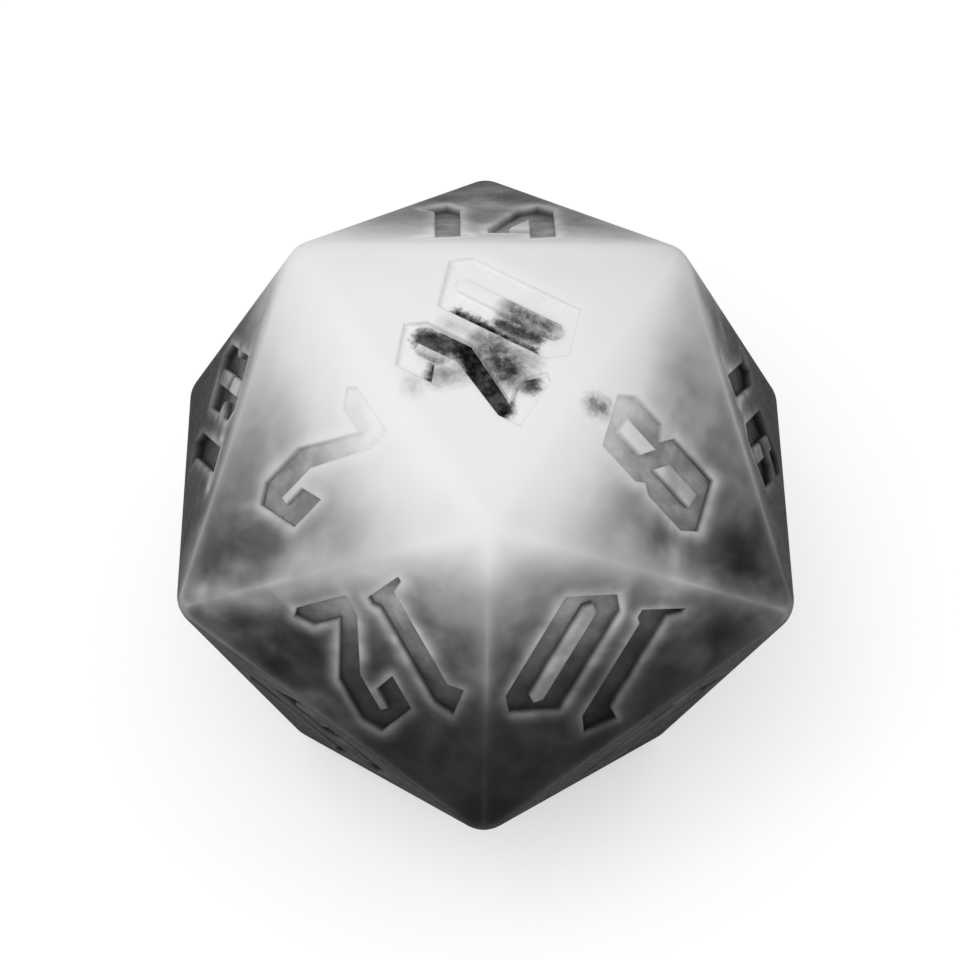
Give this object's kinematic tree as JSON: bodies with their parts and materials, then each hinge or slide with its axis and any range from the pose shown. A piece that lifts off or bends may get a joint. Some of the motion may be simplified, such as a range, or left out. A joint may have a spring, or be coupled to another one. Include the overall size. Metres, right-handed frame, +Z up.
{
  "type": "polyhedral die",
  "caption": "Large die shaped as a rounded regular icosahedron, with an angular inked numeral sunk into each face",
  "frame": {"origin": "centre of the die", "axes": "+Z up through the face numbered 20, die resting on the face numbered 1; -Y towards one corner of the 20 face"},
  "size_m": [0.0476, 0.0542, 0.0448],
  "materials": {
    "smoky_resin": "satin",
    "grey_ink": "matte",
    "black_ink": "matte"
  },
  "bodies": {
    "root": {"die_body": "smoky_resin", "number_01_ink": "grey_ink", "number_02_ink": "grey_ink", "number_03_ink": "grey_ink", "number_04_ink": "grey_ink", "number_05_ink": "grey_ink", "number_06_ink": "grey_ink", "number_07_ink": "grey_ink", "number_08_ink": "grey_ink", "number_09_ink": "grey_ink", "number_10_ink": "grey_ink", "number_11_ink": "grey_ink", "number_12_ink": "grey_ink", "number_13_ink": "grey_ink", "number_14_ink": "grey_ink", "number_15_ink": "grey_ink", "number_16_ink": "grey_ink", "number_17_ink": "grey_ink", "number_18_ink": "grey_ink", "number_19_ink": "grey_ink", "number_20_ink": "black_ink"}
  },
  "joints": []
}
